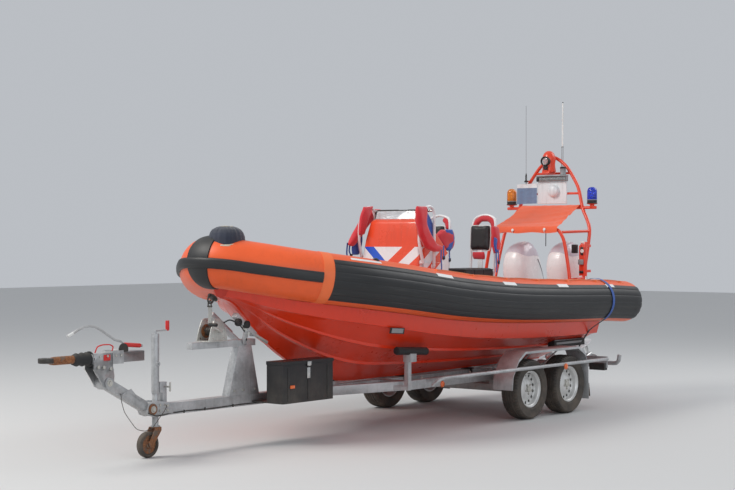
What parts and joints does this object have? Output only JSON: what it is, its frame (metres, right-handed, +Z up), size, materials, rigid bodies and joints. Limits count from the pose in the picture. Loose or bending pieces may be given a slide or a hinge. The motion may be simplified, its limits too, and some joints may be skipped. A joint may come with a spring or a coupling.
{
  "type": "rigid inflatable fireboat on a road trailer",
  "caption": "Rigid inflatable fireboat with outboard engines, helm console, seats and a lamp arch, standing on its tandem-axle road trailer with jockey wheel and towing eye.",
  "frame": {"origin": "on the road under the middle of the whole length, on the centre line", "axes": "+X forward along the boat and trailer, +Y to port, +Z up"},
  "size_m": [8.1098, 2.3278, 3.5101],
  "materials": {
    "tube_orange": "satin coated fabric",
    "tube_black": "ribbed rubber cover",
    "bag_cloth": "woven synthetic cloth",
    "hull_orange": "gelcoat",
    "console_gelcoat": "gelcoat with diagonal bands",
    "wheel_black": "moulded grip",
    "rail_white": "powder coat",
    "seat_base": "gelcoat",
    "seat_vinyl": "coated upholstery cloth",
    "jacket_cloth": "nylon cloth",
    "arch_red": "powder coat",
    "lens_blue": "moulded lens",
    "lens_amber": "moulded lens",
    "lamp_red": "painted housing",
    "board_white": "smooth",
    "panel_red": "powder coat",
    "cover_cloth": "coated cloth",
    "flag_cloth": "woven cloth",
    "bracket_black": "painted casting",
    "engine_white": "gloss paint",
    "cowl_white": "gloss paint",
    "propeller_steel": "polished casting",
    "galvanised": "hot-dip zinc",
    "axle_zinc": "weathered zinc",
    "tyre": "road tyre",
    "rim_steel": "silver paint",
    "winch_steel": "painted and worn",
    "box_plastic": "moulded",
    "jockey_tyre": "solid tyre on a grey hub",
    "coupling_steel": "zinc and paint, worn at the eye"
  },
  "bodies": {
    "root": {"collar_bow": "tube_orange", "collar_port": "tube_black", "collar_starboard": "tube_black", "bow_strake": "tube_black", "bow_bag": "bag_cloth", "hull": "hull_orange", "console": "console_gelcoat", "console_rails": "rail_white", "seat_frame": "seat_base", "seat_port": "seat_vinyl", "seat_starboard": "seat_vinyl", "life_jacket_rail_starboard": "jacket_cloth", "life_jacket_rail_port": "jacket_cloth", "life_jacket_seat_starboard": "jacket_cloth", "life_jacket_seat_port": "jacket_cloth", "arch": "arch_red", "beacon_port": "lens_blue", "beacon_starboard": "lens_amber", "searchlight": "lamp_red", "arch_board": "board_white", "equipment_panel": "panel_red", "arch_cover": "cover_cloth", "flag": "flag_cloth", "chassis": "galvanised", "side_frame_port": "galvanised", "side_frame_starboard": "galvanised", "axle_front": "axle_zinc", "axle_rear": "axle_zinc", "mudguard_port": "galvanised", "mudguard_starboard": "galvanised", "winch_post": "galvanised", "winch": "winch_steel", "toolbox": "box_plastic", "jockey_leg": "galvanised", "breakaway_cable": "bracket_black", "clamp_port": "bracket_black", "clamp_starboard": "bracket_black"},
    "wheel_front_port": {"rim_front_port": "rim_steel", "tyre_front_port": "tyre"},
    "wheel_front_starboard": {"rim_front_starboard": "rim_steel", "tyre_front_starboard": "tyre"},
    "wheel_rear_port": {"rim_rear_port": "rim_steel", "tyre_rear_port": "tyre"},
    "wheel_rear_starboard": {"rim_rear_starboard": "rim_steel", "tyre_rear_starboard": "tyre"},
    "jockey_tube": {"jockey_tube": "galvanised"},
    "jockey_fork": {"jockey_fork": "winch_steel"},
    "jockey_wheel": {"jockey_wheel": "jockey_tyre"},
    "drawbar_arm": {"drawbar_arm": "galvanised"},
    "coupling_head": {"coupling_head": "coupling_steel"},
    "toolbox_lid": {"toolbox_lid": "box_plastic"},
    "tilt_port": {"swivel_port": "bracket_black"},
    "engine_port": {"leg_port": "engine_white", "cowl_port": "cowl_white"},
    "propeller_port": {"propeller_port": "propeller_steel"},
    "tilt_starboard": {"swivel_starboard": "bracket_black"},
    "engine_starboard": {"leg_starboard": "engine_white", "cowl_starboard": "cowl_white"},
    "propeller_starboard": {"propeller_starboard": "propeller_steel"},
    "helm_wheel": {"helm_wheel": "wheel_black"}
  },
  "joints": [
    {"name": "wheel_front_port_spin", "type": "hinge", "parent": "root", "child": "wheel_front_port", "pos_m": [-1.62506, 0.929, 0.314], "axis": [0, 1, 0], "continuous": true},
    {"name": "wheel_front_starboard_spin", "type": "hinge", "parent": "root", "child": "wheel_front_starboard", "pos_m": [-1.62506, -0.929, 0.314], "axis": [0, 1, 0], "continuous": true},
    {"name": "wheel_rear_port_spin", "type": "hinge", "parent": "root", "child": "wheel_rear_port", "pos_m": [-2.39006, 0.929, 0.314], "axis": [0, 1, 0], "continuous": true},
    {"name": "wheel_rear_starboard_spin", "type": "hinge", "parent": "root", "child": "wheel_rear_starboard", "pos_m": [-2.39006, -0.929, 0.314], "axis": [0, 1, 0], "continuous": true},
    {"name": "jockey_slide", "type": "slide", "parent": "root", "child": "jockey_tube", "axis": [0, 0, 1], "range_m": [0, 0.07]},
    {"name": "jockey_swivel", "type": "hinge", "parent": "jockey_tube", "child": "jockey_fork", "pos_m": [2.77494, -0.015, 0.258], "axis": [0, 0, 1], "continuous": true},
    {"name": "jockey_spin", "type": "hinge", "parent": "jockey_fork", "child": "jockey_wheel", "pos_m": [2.86494, -0.015, 0.112], "axis": [0, 1, 0], "continuous": true},
    {"name": "drawbar_height", "type": "hinge", "parent": "root", "child": "drawbar_arm", "pos_m": [2.87994, 0, 0.42], "axis": [0, 1, 0], "range_deg": [-20, 25]},
    {"name": "coupling_level", "type": "hinge", "parent": "drawbar_arm", "child": "coupling_head", "pos_m": [3.37494, 0, 0.68], "axis": [0, 1, 0], "range_deg": [-25, 20]},
    {"name": "toolbox_hinge", "type": "hinge", "parent": "root", "child": "toolbox_lid", "pos_m": [1.29494, 0.252, 0.736], "axis": [1, 0, 0], "range_deg": [0, 42]},
    {"name": "engine_tilt_port", "type": "hinge", "parent": "root", "child": "tilt_port", "pos_m": [-3.42006, 0.3, 1.09], "axis": [0, 1, 0], "range_deg": [-17, 33]},
    {"name": "engine_steer_port", "type": "hinge", "parent": "tilt_port", "child": "engine_port", "pos_m": [-3.47744, 0.3, 1.10754], "axis": [0.2924, 0, 0.9563], "range_deg": [-20, 20]},
    {"name": "propeller_spin_port", "type": "hinge", "parent": "engine_port", "child": "propeller_port", "pos_m": [-3.99357, 0.3, 0.49676], "axis": [0.9563, 0, -0.2924], "continuous": true},
    {"name": "engine_tilt_starboard", "type": "hinge", "parent": "root", "child": "tilt_starboard", "pos_m": [-3.42006, -0.3, 1.09], "axis": [0, 1, 0], "range_deg": [-17, 33]},
    {"name": "engine_steer_starboard", "type": "hinge", "parent": "tilt_starboard", "child": "engine_starboard", "pos_m": [-3.47744, -0.3, 1.10754], "axis": [0.2924, 0, 0.9563], "range_deg": [-20, 20]},
    {"name": "propeller_spin_starboard", "type": "hinge", "parent": "engine_starboard", "child": "propeller_starboard", "pos_m": [-3.99357, -0.3, 0.49676], "axis": [0.9563, 0, -0.2924], "continuous": true},
    {"name": "helm_turn", "type": "hinge", "parent": "root", "child": "helm_wheel", "pos_m": [-1.03506, 0, 1.846], "axis": [0.891, 0, -0.454], "range_deg": [-400, 400]}
  ],
  "couplings": [
    {"joint": "coupling_level", "follows": "drawbar_height", "ratio": -1},
    {"joint": "engine_steer_starboard", "follows": "engine_steer_port", "ratio": 1},
    {"joint": "helm_turn", "follows": "engine_steer_port", "ratio": 20}
  ]
}
